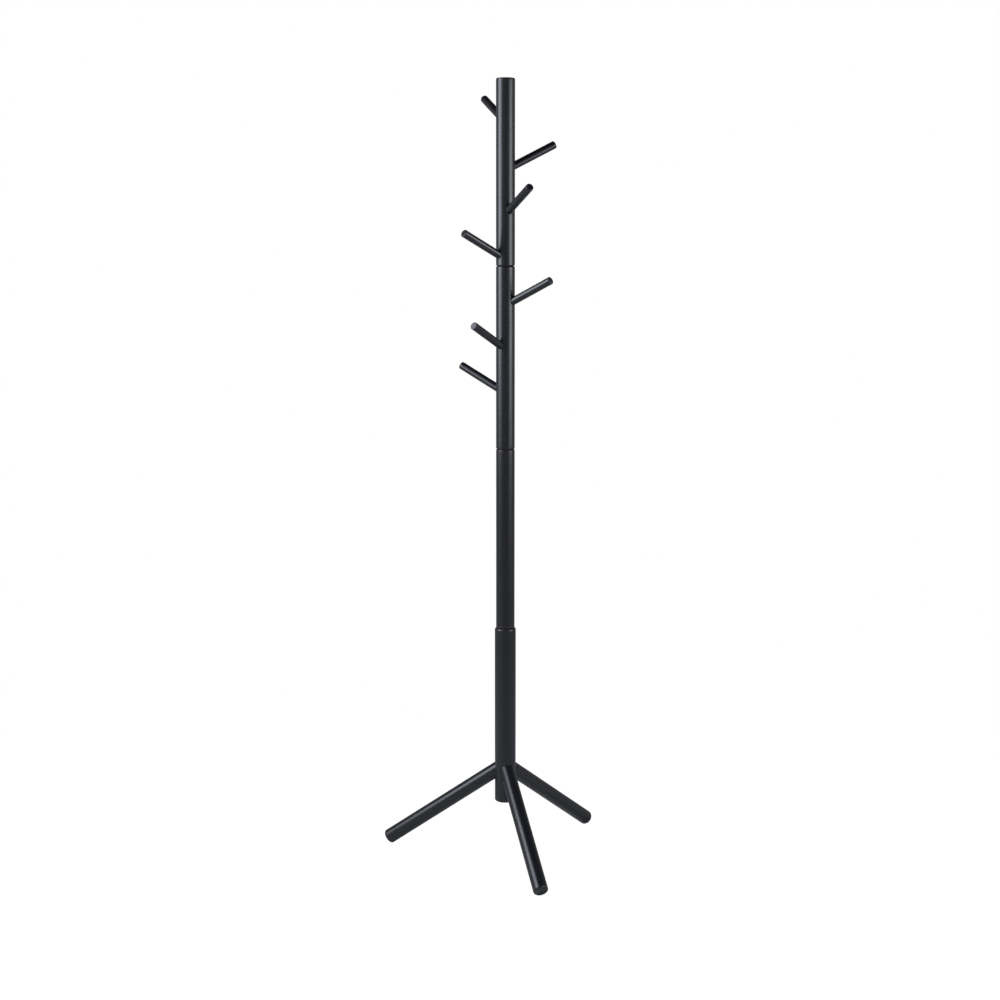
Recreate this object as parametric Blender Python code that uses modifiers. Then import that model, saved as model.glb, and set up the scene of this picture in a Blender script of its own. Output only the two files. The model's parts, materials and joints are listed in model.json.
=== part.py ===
"""Standing coat rack: a knock-down pole of four lengths on three legs, with seven pegs.

Units are metres, +Z is up, and the floor is Z = 0. The origin is the middle of the rack's footprint on the
floor, so the pole stands a little to one side of it. Headings are angles about the pole seen from above: 0
points along -Y, and 90 degrees points along +X.
"""

import math

import bmesh
import bpy
from mathutils import Matrix, Vector

# Driving dimensions of the pole
LENGTH = 0.410  # each of the four lengths
POLE_DIAMETER = 0.042
POST_DIAMETER = 0.048
POST_CLEARANCE = 0.126  # floor to the underside of the bottom post
END_RADIUS = 0.003  # rounded edge at the ends of the pole lengths
POST_HEAD_RADIUS = 0.006  # rounded shoulder of the wider post
POST_FOOT_RADIUS = 0.004
POST_SEAT_RADIUS = 0.001  # lower edge of the length that stands on the post

# Legs: their axes cross on the pole's axis
LEG_DIAMETER = 0.0335
LEG_TILT = math.radians(35.2)  # below the horizontal
LEG_CROSSING_HEIGHT = 0.2126
LEG_END_RADIUS = 0.005
LEG_HEADINGS = {"front": 15.9, "right": 135.9, "left": 255.9}

# Pegs: turned dowels that rise outwards
PEG_DIAMETER = 0.0174
PEG_RISE = math.radians(26.3)
PEG_REACH = 0.1303  # pole axis to the tip, along the peg
PEG_SEAT = 0.0124  # pole axis to the bottom of the blind hole, along the peg
PEG_END_RADIUS = 0.0022
# Each peg as (distance of its crossing below its length's upper end, heading in degrees)
TOP_PEGS = ((0.0950, 204.4), (0.1995, 110.0), (0.2964, 26.9), (0.3949, 308.4))
UPPER_PEGS = ((0.0874, 58.9), (0.1851, 323.6), (0.2830, 239.5))

# M8 hanger bolts and the inserts they screw into
BOLT_RADIUS = 0.004
BOLT_MACHINE_LENGTH = 0.018  # machine thread, below the collar
BOLT_WOOD_LENGTH = 0.032  # wood thread, above the collar
BOLT_POINT_LENGTH = 0.007
BOLT_CHAMFER = 0.001
INSERT_RADIUS = 0.006
INSERT_LENGTH = 0.014
INSERT_LEAD = 0.0015  # tapered lead at the inner end
INSERT_MOUTH = 0.025  # pole axis to the outer end of a leg's insert, along the leg

GAP = 0.0003  # between faces that touch in the real rack
BORE_SPARE = 0.002  # bore depth past a bolt's tip

POLE_STEPS = 36
LEG_STEPS = 28
PEG_STEPS = 20
BOLT_STEPS = 16
INSERT_STEPS = 16
EDGE_STEPS = 3

COLLECTION = "standing_coat_rack"
LACQUER = ("black_lacquer", (0.018, 0.018, 0.021), 0.34, 0.0)
STEEL = ("zinc_plated_steel", (0.56, 0.57, 0.58), 0.30, 1.0)
BRASS = ("brass", (0.74, 0.56, 0.28), 0.36, 1.0)


def clear_scene():
    for obj in list(bpy.data.objects):
        bpy.data.objects.remove(obj)


def collection_named(name):
    collection = bpy.data.collections.new(name)
    bpy.context.scene.collection.children.link(collection)
    return collection


def material_for(finish):
    name, colour, roughness, metallic = finish
    material = bpy.data.materials.get(name)
    if material is None:
        material = bpy.data.materials.new(name)
        material.use_nodes = True
        shader = material.node_tree.nodes["Principled BSDF"]
        shader.inputs["Base Color"].default_value = (*colour, 1.0)
        shader.inputs["Roughness"].default_value = roughness
        shader.inputs["Metallic"].default_value = metallic
    return material


def direction(heading, rise):
    """Unit vector at a heading in degrees and a rise in radians above the horizontal."""
    turn = math.radians(heading)
    level = math.cos(rise)
    return Vector((math.sin(turn) * level, -math.cos(turn) * level, math.sin(rise)))


def along(axis):
    """Rotation that turns +Z onto an axis."""
    return axis.to_track_quat("Z", "Y")


def outer_round(radius, height, edge, upper):
    """Profile points of a rounded outer edge, top to bottom. height is that of the end face."""
    points = []
    for step in range(EDGE_STEPS + 1):
        angle = math.pi / 2 * step / EDGE_STEPS
        if upper:
            x = radius - edge + edge * math.sin(angle)
            z = height - edge + edge * math.cos(angle)
        else:
            x = radius - edge + edge * math.cos(angle)
            z = height + edge - edge * math.sin(angle)
        points.append((x, z))
    return points


def turned(name, profile, steps, finish, collection):
    """A turned piece: the profile runs down its outer side and is closed on the Z axis at both ends."""
    mesh = bpy.data.meshes.new(name)
    obj = bpy.data.objects.new(name, mesh)
    shape = bmesh.new()
    verts = [shape.verts.new((x, 0.0, z)) for x, z in profile]
    for first, second in zip(verts, verts[1:]):
        shape.edges.new((first, second))
    shape.to_mesh(mesh)
    shape.free()
    collection.objects.link(obj)
    screw = obj.modifiers.new("turn", "SCREW")
    screw.axis = "Z"
    screw.steps = steps
    screw.render_steps = steps
    screw.use_merge_vertices = True
    screw.merge_threshold = 0.00005
    screw.use_smooth_shade = True
    mesh.materials.append(material_for(finish))
    return obj


def cylinder_cutter(name, radius, length, steps, matrix, collection):
    """A closed cylinder from the matrix's origin along its +Z axis, hidden from the render."""
    shape = bmesh.new()
    bmesh.ops.create_cone(
        shape, cap_ends=True, segments=steps, radius1=radius, radius2=radius, depth=length
    )
    bmesh.ops.translate(shape, verts=shape.verts, vec=(0.0, 0.0, length / 2))
    mesh = bpy.data.meshes.new(name)
    shape.to_mesh(mesh)
    shape.free()
    obj = bpy.data.objects.new(name, mesh)
    obj.matrix_world = matrix
    obj.hide_render = True
    obj.display_type = "WIRE"
    collection.objects.link(obj)
    return obj


def cut(obj, cutter):
    boolean = obj.modifiers.new(cutter.name, "BOOLEAN")
    boolean.operation = "DIFFERENCE"
    boolean.solver = "EXACT"
    boolean.object = cutter


def put(obj, parent, location, rotation=None):
    """Place an object in its parent's frame."""
    obj.parent = parent
    obj.location = location
    if rotation is not None:
        obj.rotation_mode = "QUATERNION"
        obj.rotation_quaternion = rotation


def frame_at(name, parent, location, collection):
    empty = bpy.data.objects.new(name, None)
    empty.empty_display_size = 0.03
    collection.objects.link(empty)
    empty.parent = parent
    empty.location = location
    return empty


def leg_reach():
    """Distance from the pole's axis to a leg's end face that puts the end's lower rim on the floor."""
    radius = LEG_DIAMETER / 2
    drop = LEG_CROSSING_HEIGHT - LEG_END_RADIUS - (radius - LEG_END_RADIUS) * math.cos(LEG_TILT)
    return LEG_END_RADIUS + drop / math.sin(LEG_TILT)


def pole_offset():
    """Where the pole stands when the middle of the three feet's bounding box is the origin."""
    radius = LEG_DIAMETER / 2 - LEG_END_RADIUS
    reach = leg_reach() - LEG_END_RADIUS
    axes = [direction(heading, -LEG_TILT) for heading in LEG_HEADINGS.values()]
    middle = []
    for side in range(2):
        swells = [radius * math.sqrt(1 - axis[side] ** 2) + LEG_END_RADIUS for axis in axes]
        high = max(axis[side] * reach + swell for axis, swell in zip(axes, swells))
        low = min(axis[side] * reach - swell for axis, swell in zip(axes, swells))
        middle.append((high + low) / 2)
    return Vector((-middle[0], -middle[1], 0.0))


def bolt_bore_depth():
    return BOLT_WOOD_LENGTH + BORE_SPARE


def length_profile(radius, upper_edge, lower_edge, has_upper_joint, has_lower_joint):
    """Profile of a pole length from its lower end at Z = 0, with the bores for its joints."""
    low = GAP / 2 if has_lower_joint else 0.0
    high = LENGTH - GAP / 2 if has_upper_joint else LENGTH
    bolt_bore = BOLT_RADIUS + GAP
    profile = []
    if has_upper_joint:
        wide = INSERT_RADIUS + GAP
        ledge = LENGTH - INSERT_LENGTH - 2 * GAP
        floor = LENGTH - BOLT_MACHINE_LENGTH - BORE_SPARE
        profile += [(0.0, floor), (bolt_bore, floor), (bolt_bore, ledge), (wide, ledge), (wide, high)]
    else:
        profile.append((0.0, high))
    profile += outer_round(radius, high, upper_edge, True)
    profile += outer_round(radius, low, lower_edge, False)
    if has_lower_joint:
        profile += [(bolt_bore, low), (bolt_bore, bolt_bore_depth()), (0.0, bolt_bore_depth())]
    else:
        profile.append((0.0, low))
    return profile


def bolt_profile():
    """Hanger bolt with its machine thread below Z = 0 and its pointed wood thread above."""
    tip = -BOLT_MACHINE_LENGTH
    shoulder = BOLT_WOOD_LENGTH - BOLT_POINT_LENGTH
    return [
        (0.0, BOLT_WOOD_LENGTH),
        (BOLT_RADIUS, shoulder),
        (BOLT_RADIUS, tip + BOLT_CHAMFER),
        (BOLT_RADIUS - BOLT_CHAMFER, tip),
        (0.0, tip),
    ]


def insert_profile():
    """Closed outline of an insert's wall, with its mouth at Z = 0 and its tapered lead below."""
    inner = BOLT_RADIUS + GAP
    bottom = -INSERT_LENGTH
    return [
        (inner, bottom),
        (inner, 0.0),
        (INSERT_RADIUS, 0.0),
        (INSERT_RADIUS, bottom + INSERT_LEAD),
        (INSERT_RADIUS - INSERT_LEAD / 2, bottom),
        (inner, bottom),
    ]


def make_peg(name, length_frame, crossing_height, heading, collection, cutters):
    """A glued peg on its own axis, and the cutter of its blind hole."""
    radius = PEG_DIAMETER / 2
    profile = [(0.0, PEG_REACH)]
    profile += outer_round(radius, PEG_REACH, PEG_END_RADIUS, True)
    profile += [(radius, PEG_SEAT + GAP), (0.0, PEG_SEAT + GAP)]
    peg = turned(name, profile, PEG_STEPS, LACQUER, collection)
    axis = direction(heading, PEG_RISE)
    put(peg, length_frame, Vector((0.0, 0.0, crossing_height)), along(axis))
    base = length_frame.matrix_world.translation + Vector((0.0, 0.0, crossing_height))
    matrix = Matrix.Translation(base + axis * PEG_SEAT) @ along(axis).to_matrix().to_4x4()
    return cylinder_cutter(
        name + "_hole", radius + GAP, POLE_DIAMETER, PEG_STEPS, matrix, cutters
    )


def make_joint(name, parent, collection):
    """The hanger bolt and the insert of one joint of the pole. The joint plane is the parent's Z = 0."""
    bolt = turned(name + "_joint_bolt", bolt_profile(), BOLT_STEPS, STEEL, collection)
    put(bolt, parent, Vector((0.0, 0.0, 0.0)))
    insert = turned(name + "_joint_insert", insert_profile(), INSERT_STEPS, BRASS, collection)
    put(insert, parent, Vector((0.0, 0.0, -GAP)))


def make_leg(side, heading, rack, post, collection, cutters):
    """A coped leg with its hanger bolt and insert, and the insert's hole in the post."""
    axis = direction(heading, -LEG_TILT)
    crossing = Vector((0.0, 0.0, LEG_CROSSING_HEIGHT))
    radius = LEG_DIAMETER / 2
    seat = POST_DIAMETER / 2 / math.cos(LEG_TILT)
    bore = BOLT_RADIUS + GAP
    bore_end = seat + BOLT_WOOD_LENGTH + BORE_SPARE
    reach = leg_reach()
    profile = [(0.0, reach)]
    profile += outer_round(radius, reach, LEG_END_RADIUS, True)
    profile += [(radius, INSERT_MOUTH / 2), (bore, INSERT_MOUTH / 2), (bore, bore_end), (0.0, bore_end)]
    leg = turned(side + "_leg", profile, LEG_STEPS, LACQUER, collection)
    put(leg, rack, crossing, along(axis))
    cope = cylinder_cutter(
        side + "_leg_cope",
        POST_DIAMETER / 2 + GAP,
        LENGTH,
        POLE_STEPS,
        Matrix.Translation(rack.location),
        cutters,
    )
    cut(leg, cope)

    bolt = turned(side + "_leg_bolt", bolt_profile(), BOLT_STEPS, STEEL, collection)
    put(bolt, rack, crossing + axis * (seat + GAP), along(axis))

    insert = turned(side + "_leg_insert", insert_profile(), INSERT_STEPS, BRASS, collection)
    put(insert, rack, crossing + axis * INSERT_MOUTH, along(axis))
    start = rack.location + crossing + axis * (INSERT_MOUTH - INSERT_LENGTH - GAP)
    hole = cylinder_cutter(
        side + "_leg_insert_hole",
        INSERT_RADIUS + GAP,
        POST_DIAMETER,
        INSERT_STEPS,
        Matrix.Translation(start) @ along(axis).to_matrix().to_4x4(),
        cutters,
    )
    cut(post, hole)


def make_rack():
    parts = collection_named(COLLECTION)
    cutters = collection_named("cutters")
    rack = frame_at("rack", None, pole_offset(), parts)

    levels = {
        "bottom_post": POST_CLEARANCE,
        "lower_pole": POST_CLEARANCE + LENGTH,
        "upper_pole": POST_CLEARANCE + 2 * LENGTH,
        "top_pole": POST_CLEARANCE + 3 * LENGTH,
    }
    frames = {
        name: frame_at(name + "_frame", rack, Vector((0.0, 0.0, height)), parts)
        for name, height in levels.items()
    }
    bpy.context.view_layer.update()

    post_profile = length_profile(
        POST_DIAMETER / 2, POST_HEAD_RADIUS, POST_FOOT_RADIUS, True, False
    )
    post = turned("bottom_post", post_profile, POLE_STEPS, LACQUER, parts)
    put(post, frames["bottom_post"], Vector((0.0, 0.0, 0.0)))
    for side, heading in LEG_HEADINGS.items():
        make_leg(side, heading, rack, post, parts, cutters)

    pegs = {"lower_pole": (), "upper_pole": UPPER_PEGS, "top_pole": TOP_PEGS}
    for name, places in pegs.items():
        frame = frames[name]
        lower_edge = POST_SEAT_RADIUS if name == "lower_pole" else END_RADIUS
        profile = length_profile(
            POLE_DIAMETER / 2, END_RADIUS, lower_edge, name != "top_pole", True
        )
        pole = turned(name, profile, POLE_STEPS, LACQUER, parts)
        put(pole, frame, Vector((0.0, 0.0, 0.0)))
        word = name.split("_")[0]
        for number, (below, heading) in enumerate(places, start=1):
            hole = make_peg(
                f"{word}_peg_{number}", frame, LENGTH - below, heading, parts, cutters
            )
            cut(pole, hole)
        make_joint(word, frame, parts)


def main():
    clear_scene()
    make_rack()


main()
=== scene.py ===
"""Looks of a knock-down standing coat rack in satin black lacquer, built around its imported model.

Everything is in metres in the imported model's own frame: +Z is up, the floor is Z = 0, and -Y is
the side the rack is seen from. Every piece is a surface worked out with numpy in the frame of its
own axis, and then put in place by its mesh, so each finished object sits at the origin.
"""

import json
import logging
import math
from dataclasses import dataclass, field
from enum import Enum

import bmesh
import bpy
import numpy as np
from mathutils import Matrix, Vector


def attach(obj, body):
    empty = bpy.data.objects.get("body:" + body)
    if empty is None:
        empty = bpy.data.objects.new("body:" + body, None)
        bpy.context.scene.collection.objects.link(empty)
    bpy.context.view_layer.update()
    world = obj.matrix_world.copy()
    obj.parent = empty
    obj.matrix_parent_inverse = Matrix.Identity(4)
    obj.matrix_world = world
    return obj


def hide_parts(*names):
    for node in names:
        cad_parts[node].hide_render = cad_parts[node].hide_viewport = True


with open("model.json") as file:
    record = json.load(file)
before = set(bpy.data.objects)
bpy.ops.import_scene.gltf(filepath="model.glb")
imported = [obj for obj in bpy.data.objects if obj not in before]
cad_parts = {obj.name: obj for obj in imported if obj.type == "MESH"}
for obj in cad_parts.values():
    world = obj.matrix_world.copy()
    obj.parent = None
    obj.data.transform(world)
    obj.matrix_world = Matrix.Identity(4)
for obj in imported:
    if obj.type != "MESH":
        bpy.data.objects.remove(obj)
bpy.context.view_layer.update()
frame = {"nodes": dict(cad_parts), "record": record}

log = logging.getLogger("coat_rack")

Socket = bpy.types.NodeSocket
Colour = tuple[float, float, float, float]
Range = tuple[float, float]
Inputs = dict[str | int, object]

MM = 0.001
WELD = 1e-6
WELD_DIGITS = 6
QUARTER = math.pi / 2
FULL_TURN = 2 * math.pi

# Numbers of the Mix nodes' sockets, which share their names.
MIX_SHARE, FLOAT_A, FLOAT_B, COLOUR_A, COLOUR_B = 0, 2, 3, 6, 7
FLOAT_OUT, COLOUR_OUT = 0, 2
SHADER_A, SHADER_B = 1, 2

# A Map Range node's inputs for the range it reads and the one it gives.
RANGE_ENDS = ("From Min", "From Max", "To Min", "To Max")
# Nearly all of a noise texture's values lie in this range.
NOISE_MIDDLE = (0.3, 0.7)

# The number, in a wooden skin, of the bare wood inside its bores.
BARE = 1
# Edges bent by more than this stay sharp.
SHARP_ANGLE = math.radians(38)
# How far one step of a piece's offset moves its grain.
GRAIN_STEP = 11 * MM
# How many steps there are on each axis, no two alike.
TIMBER_PLACES = (97, 53, 31)
# The rings of a flat end face, as shares of its radius.
END_FACE_RINGS = (0.5, 0.97)
# How far a thread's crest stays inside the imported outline.
CREST_PLAY = 0.02 * MM


# ---- Colours and nodes ----


def linear(code: str) -> Colour:
    """Turn an sRGB hex colour into a linear one.

    Args:
        code: the colour as "#rrggbb".

    Returns:
        The linear red, green and blue, and an alpha of 1.
    """
    channels = [int(code[at : at + 2], 16) / 255 for at in (1, 3, 5)]
    red, green, blue = (
        value / 12.92 if value <= 0.04045 else ((value + 0.055) / 1.055) ** 2.4
        for value in channels
    )
    return red, green, blue, 1.0


def add_node(
    tree: bpy.types.NodeTree,
    kind: str,
    output: str | int | None,
    inputs: Inputs | None = None,
    **settings: object,
) -> Socket | None:
    """Add one node with its settings, values and links.

    Args:
        tree: the node tree that takes it.
        kind: the node's type name.
        output: the output to return, by name or number, or None for the tree's last node.
        inputs: a value, or an output to link from, by input name or number.
        settings: the node's own properties.

    Returns:
        The output, to link from.
    """
    node = tree.nodes.new(kind)
    for name, setting in settings.items():
        setattr(node, name, setting)
    for name, source in (inputs or {}).items():
        if isinstance(source, Socket):
            tree.links.new(source, node.inputs[name])
        else:
            node.inputs[name].default_value = source
    return None if output is None else node.outputs[output]


def new_material(name: str) -> tuple[bpy.types.Material, bpy.types.NodeTree]:
    """Make an empty node material.

    Args:
        name: the material's name.

    Returns:
        The material and its cleared node tree.
    """
    material = bpy.data.materials.new(name)
    material.use_nodes = True
    material.node_tree.nodes.clear()
    return material, material.node_tree


def grain_scale(width: float, length: float) -> tuple[float, float, float]:
    """Return the scale that divides by a width across the grain and by a length along it."""
    return 1 / width, 1 / width, 1 / length


# ---- Finishes ----


@dataclass(frozen=True)
class BlackLacquer:
    """Satin black nitrocellulose lacquer sprayed on turned beech dowel.

    The eye sees a nearly neutral black with a soft, slightly cool sheen. The dowel's long fibres
    print through the thin film as faint lines along each piece, and the film pulls back a little
    from the rounded ends. Each relief is a bump's strength and distance.
    """

    film: str = "#1a1b20"
    film_thick: str = "#15161b"
    film_thin: str = "#262529"
    ior: float = 1.5
    roughness: Range = (0.30, 0.38)
    fibre_width: float = 0.7 * MM
    fibre_length: float = 26 * MM
    fibre_scale: float = 0.35
    pore_width: float = 0.35 * MM
    pore_length: float = 5 * MM
    pore_scale: float = 0.45
    pore_edge: float = 0.28
    orange_peel: float = 2.2 * MM
    fibre_relief: Range = (0.065, 0.05 * MM)
    pore_relief: Range = (0.05, 0.04 * MM)
    peel_relief: Range = (0.045, 0.06 * MM)

    def material(self) -> bpy.types.Material:
        """Return the lacquer, which reads the attributes that every piece carries.

        Returns:
            The material.
        """
        material, tree = new_material("satin_black_lacquer")
        grain = add_node(tree, "ShaderNodeAttribute", "Vector", attribute_name="grain")
        edge = add_node(tree, "ShaderNodeAttribute", "Fac", attribute_name="edge")
        inputs = {"Vector": grain, "Scale": grain_scale(self.fibre_width, self.fibre_length)}
        fibre_space = add_node(tree, "ShaderNodeMapping", "Vector", inputs)
        inputs = {"Vector": fibre_space, "Scale": self.fibre_scale, "Detail": 4.0, "Roughness": 0.6}
        fibres = add_node(tree, "ShaderNodeTexNoise", "Fac", inputs)
        inputs = {"Vector": grain, "Scale": grain_scale(self.pore_width, self.pore_length)}
        pore_space = add_node(tree, "ShaderNodeMapping", "Vector", inputs)
        inputs = {"Vector": pore_space, "Scale": self.pore_scale}
        pores = add_node(tree, "ShaderNodeTexVoronoi", "Distance", inputs, feature="F1")
        inputs = {"Value": pores, "From Min": 0.0, "From Max": self.pore_edge}
        pits = add_node(tree, "ShaderNodeMapRange", "Result", inputs)
        inputs = {"Vector": grain, "Scale": 1 / self.orange_peel, "Detail": 2.0, "Roughness": 0.4}
        peel = add_node(tree, "ShaderNodeTexNoise", "Fac", inputs)
        inputs = {MIX_SHARE: fibres, COLOUR_A: linear(self.film_thick), COLOUR_B: linear(self.film)}
        film = add_node(tree, "ShaderNodeMix", COLOUR_OUT, inputs, data_type="RGBA")
        inputs = {MIX_SHARE: edge, COLOUR_A: film, COLOUR_B: linear(self.film_thin)}
        worn = add_node(tree, "ShaderNodeMix", COLOUR_OUT, inputs, data_type="RGBA")
        inputs = {"Value": fibres, **dict(zip(RANGE_ENDS, NOISE_MIDDLE + self.roughness))}
        rough = add_node(tree, "ShaderNodeMapRange", "Result", inputs)
        reliefs = ((fibres, self.fibre_relief), (pits, self.pore_relief), (peel, self.peel_relief))
        # Each relief tilts the normal that the one before it leaves.
        below: Inputs = {}
        for height, (strength, distance) in reliefs:
            inputs = {"Height": height, "Strength": strength, "Distance": distance, **below}
            below = {"Normal": add_node(tree, "ShaderNodeBump", "Normal", inputs)}
        inputs = {"Base Color": worn, "Roughness": rough, "IOR": self.ior, **below}
        shader = add_node(tree, "ShaderNodeBsdfPrincipled", "BSDF", inputs)
        add_node(tree, "ShaderNodeOutputMaterial", None, {"Surface": shader})
        return material


@dataclass(frozen=True)
class BareBeech:
    """Drilled, unfinished beech, as inside the bores: pale, dry and matt, with short flecks."""

    light: str = "#c9a67c"
    dark: str = "#a98257"
    fleck: str = "#8a6440"
    ring_width: float = 2.4 * MM
    ring_scale: float = 0.32
    fleck_width: float = 0.5 * MM
    fleck_length: float = 4 * MM
    fleck_range: Range = (0.55, 0.75)
    relief: Range = (0.4, 0.08 * MM)

    def material(self) -> bpy.types.Material:
        """Return the bare wood.

        Returns:
            The material.
        """
        material, tree = new_material("bare_beech")
        grain = add_node(tree, "ShaderNodeAttribute", "Vector", attribute_name="grain")
        scale = self.ring_scale / self.ring_width
        bends = {"Distortion": 2.5, "Detail": 2.0, "Detail Scale": 1.5}
        inputs = {"Vector": grain, "Scale": scale, **bends}
        pattern = {"wave_type": "RINGS", "rings_direction": "Z"}
        rings = add_node(tree, "ShaderNodeTexWave", "Fac", inputs, **pattern)
        inputs = {MIX_SHARE: rings, COLOUR_A: linear(self.light), COLOUR_B: linear(self.dark)}
        wood = add_node(tree, "ShaderNodeMix", COLOUR_OUT, inputs, data_type="RGBA")
        inputs = {"Vector": grain, "Scale": grain_scale(self.fleck_width, self.fleck_length)}
        fleck_space = add_node(tree, "ShaderNodeMapping", "Vector", inputs)
        inputs = {"Vector": fleck_space, "Scale": 0.8, "Detail": 3.0, "Roughness": 0.5}
        flecks = add_node(tree, "ShaderNodeTexNoise", "Fac", inputs)
        inputs = {"Value": flecks, **dict(zip(RANGE_ENDS, self.fleck_range))}
        fleck_share = add_node(tree, "ShaderNodeMapRange", "Result", inputs)
        inputs = {MIX_SHARE: fleck_share, COLOUR_A: wood, COLOUR_B: linear(self.fleck)}
        flecked = add_node(tree, "ShaderNodeMix", COLOUR_OUT, inputs, data_type="RGBA")
        inputs = {"Height": flecks, "Strength": self.relief[0], "Distance": self.relief[1]}
        normal = add_node(tree, "ShaderNodeBump", "Normal", inputs)
        inputs = {"Base Color": flecked, "Roughness": 0.72, "IOR": 1.5, "Normal": normal}
        shader = add_node(tree, "ShaderNodeBsdfPrincipled", "BSDF", inputs)
        add_node(tree, "ShaderNodeOutputMaterial", None, {"Surface": shader})
        return material


@dataclass(frozen=True)
class MachinedMetal:
    """A small machined metal part: bright, with fine turning marks and a mottled sheen."""

    name: str
    bright: str
    dull: str
    roughness: Range
    mottle: float = 1.6 * MM
    turning: float = 0.12 * MM
    turning_reach: float = 2.4 * MM
    relief: Range = (0.15, 0.02 * MM)

    def material(self) -> bpy.types.Material:
        """Return the metal, which keeps the shader's own IOR.

        Returns:
            The material.
        """
        material, tree = new_material(self.name)
        grain = add_node(tree, "ShaderNodeAttribute", "Vector", attribute_name="grain")
        inputs = {"Vector": grain, "Scale": 1 / self.mottle, "Detail": 3.0, "Roughness": 0.55}
        mottle = add_node(tree, "ShaderNodeTexNoise", "Fac", inputs)
        inputs = {"Vector": grain, "Scale": grain_scale(self.turning_reach, self.turning)}
        turning_space = add_node(tree, "ShaderNodeMapping", "Vector", inputs)
        inputs = {"Vector": turning_space, "Scale": 1.0, "Detail": 2.0, "Roughness": 0.5}
        turning = add_node(tree, "ShaderNodeTexNoise", "Fac", inputs)
        inputs = {MIX_SHARE: mottle, COLOUR_A: linear(self.dull), COLOUR_B: linear(self.bright)}
        colour = add_node(tree, "ShaderNodeMix", COLOUR_OUT, inputs, data_type="RGBA")
        inputs = {"Value": mottle, **dict(zip(RANGE_ENDS, NOISE_MIDDLE + self.roughness))}
        rough = add_node(tree, "ShaderNodeMapRange", "Result", inputs)
        inputs = {"Height": turning, "Strength": self.relief[0], "Distance": self.relief[1]}
        normal = add_node(tree, "ShaderNodeBump", "Normal", inputs)
        inputs = {"Base Color": colour, "Roughness": rough, "Metallic": 1.0, "Normal": normal}
        shader = add_node(tree, "ShaderNodeBsdfPrincipled", "BSDF", inputs)
        add_node(tree, "ShaderNodeOutputMaterial", None, {"Surface": shader})
        return material


STEEL = MachinedMetal("zinc_plated_steel", "#c6c9cc", "#9da2a8", (0.22, 0.34))
BRASS = MachinedMetal("turned_brass", "#dcbb78", "#b48f4c", (0.26, 0.40))


class Slot(Enum):
    """The record's material slots."""

    WOOD = "lacquered_wood"
    STEEL = "plated_steel"
    BRASS = "insert_brass"


@dataclass
class Finishes:
    """The rack's materials, made once and shared by its pieces."""

    lacquer: bpy.types.Material = field(default_factory=lambda: BlackLacquer().material())
    beech: bpy.types.Material = field(default_factory=lambda: BareBeech().material())
    steel: bpy.types.Material = field(default_factory=lambda: STEEL.material())
    brass: bpy.types.Material = field(default_factory=lambda: BRASS.material())


# ---- Axes and skins ----


@dataclass(frozen=True)
class Axis:
    """A piece's own frame: a point on its axis, and unit vectors across, aside and along it."""

    origin: np.ndarray
    across: np.ndarray
    aside: np.ndarray
    along: np.ndarray

    @classmethod
    def through(cls, origin: np.ndarray, along: np.ndarray) -> "Axis":
        """Make a frame whose across vector is level.

        Args:
            origin: a point on the axis.
            along: the axis's direction.

        Returns:
            The frame. Its aside vector leans up as far as the axis lets it.
        """
        along = np.asarray(along, float)
        along = along / np.linalg.norm(along)
        level = np.array([-along[1], along[0], 0.0])
        length = np.linalg.norm(level)
        across = level / length if length > 1e-9 else np.array([1.0, 0.0, 0.0])
        return cls(np.asarray(origin, float), across, np.cross(along, across), along)

    @classmethod
    def leaving(cls, pole: "Axis", point: np.ndarray, along: np.ndarray) -> "Axis":
        """Make the frame of a branch, with its origin where it crosses the pole's axis.

        Args:
            pole: the pole's axis.
            point: a point on the branch's axis.
            along: its direction, away from the pole.

        Returns:
            The frame.
        """
        lean = along[:2]
        run = (point - pole.origin)[:2] @ lean / (lean @ lean)
        return cls.through(point - along * run, along)

    @property
    def basis(self) -> np.ndarray:
        """The three unit vectors as rows."""
        return np.stack([self.across, self.aside, self.along])

    def place(self, local: np.ndarray) -> np.ndarray:
        """Turn points of this frame into points of the rack's frame."""
        return local @ self.basis + self.origin

    def read(self, points: np.ndarray) -> np.ndarray:
        """Turn points of the rack's frame into points of this frame."""
        return (points - self.origin) @ self.basis.T


def circle(steps: int) -> np.ndarray:
    """Return the angles of a closed ring of columns."""
    return np.arange(steps) * (FULL_TURN / steps)


def around(
    radius: np.ndarray | float, angles: np.ndarray, height: np.ndarray | float
) -> np.ndarray:
    """Return points round an axis, in its own frame.

    x is the radius times the cosine of the angle, y is the radius times its sine, and z is the
    height.

    Args:
        radius: distances from the axis.
        angles: angles about it.
        height: distances along it. All three are broadcast to one shape.

    Returns:
        The points, with x, y and z last.
    """
    across, aside = radius * np.cos(angles), radius * np.sin(angles)
    return np.stack(np.broadcast_arrays(across, aside, height), axis=-1)


def turned(profile: np.ndarray, angles: np.ndarray) -> np.ndarray:
    """Turn a profile about the axis.

    Args:
        profile: radius and height of each point, one row for each.
        angles: the columns' angles.

    Returns:
        A grid of points, rows along the profile and columns round the axis.
    """
    return around(profile[:, 0, None], angles, profile[:, 1, None])


def round_over(radius: float, end: float, bend: float, inward: float, steps: int) -> np.ndarray:
    """Profile of a rounded end edge, from the end face out to the side.

    It is a quarter circle: the radius grows with the sine of the angle and the height falls back
    with its cosine. Two more points in the end face keep that face flat up to the bend.

    Args:
        radius: the piece's radius.
        end: the height of its end face.
        bend: the radius of the rounding.
        inward: +1 where the piece lies below the end face, -1 where it lies above.
        steps: the number of steps round the bend.

    Returns:
        Radius and height of each point.
    """
    angle = np.linspace(0, QUARTER, steps + 1)
    flat = radius - bend
    arc = [flat + bend * np.sin(angle), end - inward * bend * (1 - np.cos(angle))]
    return np.vstack([[(flat * share, end) for share in END_FACE_RINGS], np.stack(arc, axis=1)])


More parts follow.
